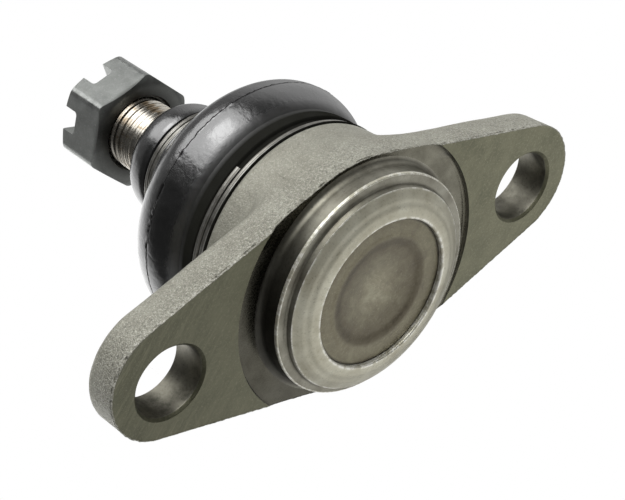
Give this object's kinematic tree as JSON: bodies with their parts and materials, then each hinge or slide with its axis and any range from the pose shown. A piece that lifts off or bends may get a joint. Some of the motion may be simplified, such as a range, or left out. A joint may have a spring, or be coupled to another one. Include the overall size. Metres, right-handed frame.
{
  "type": "suspension ball joint",
  "caption": "Ball joint with a forged bolt-on flange housing, rubber dust boot, swinging tapered stud and slotted castle nut.",
  "frame": {"origin": "midway between the two bolt holes, in the plane of the machined flange face", "axes": "+X along the bolt holes, +Z along the ball stud towards its nut, with the closed end of the housing at -Z"},
  "size_m": [0.103, 0.0488, 0.078],
  "materials": {
    "forged_housing": "forged, machined on the flange face and boss",
    "cover_steel": "pressed, dull",
    "spring_steel": "hardened",
    "bearing_plastic": "moulded acetal",
    "stud_steel": "turned and threaded, bright",
    "boot_rubber": "moulded, glossy",
    "ring_wire": "flat wire, bright",
    "nut_steel": "dark phosphate"
  },
  "bodies": {
    "housing": {"housing": "forged_housing", "cover_plate": "cover_steel", "preload_spring": "spring_steel", "upper_bearing": "bearing_plastic", "dust_boot": "boot_rubber", "boot_base_ring": "ring_wire"},
    "seat": {"lower_bearing": "bearing_plastic"},
    "boot_neck": {"boot_neck_ring": "ring_wire"},
    "stud": {"ball_stud": "stud_steel"},
    "nut": {"castle_nut": "nut_steel"}
  },
  "joints": [
    {"name": "swing_heading", "type": "hinge", "parent": "housing", "child": "seat", "pos_m": [0, 0, 0.012], "axis": [0, 0, 1], "continuous": true},
    {"name": "swing", "type": "hinge", "parent": "seat", "child": "boot_neck", "pos_m": [0, 0, 0.012], "axis": [1, 0, 0], "range_deg": [-25, 25], "deforming": ["dust_boot"]},
    {"name": "stud_spin", "type": "hinge", "parent": "boot_neck", "child": "stud", "pos_m": [0, 0, 0.012], "axis": [0, 0, 1], "continuous": true},
    {"name": "nut_travel", "type": "slide", "parent": "stud", "child": "nut", "axis": [0, 0, 1], "range_m": [-0.008, 0.012]}
  ]
}
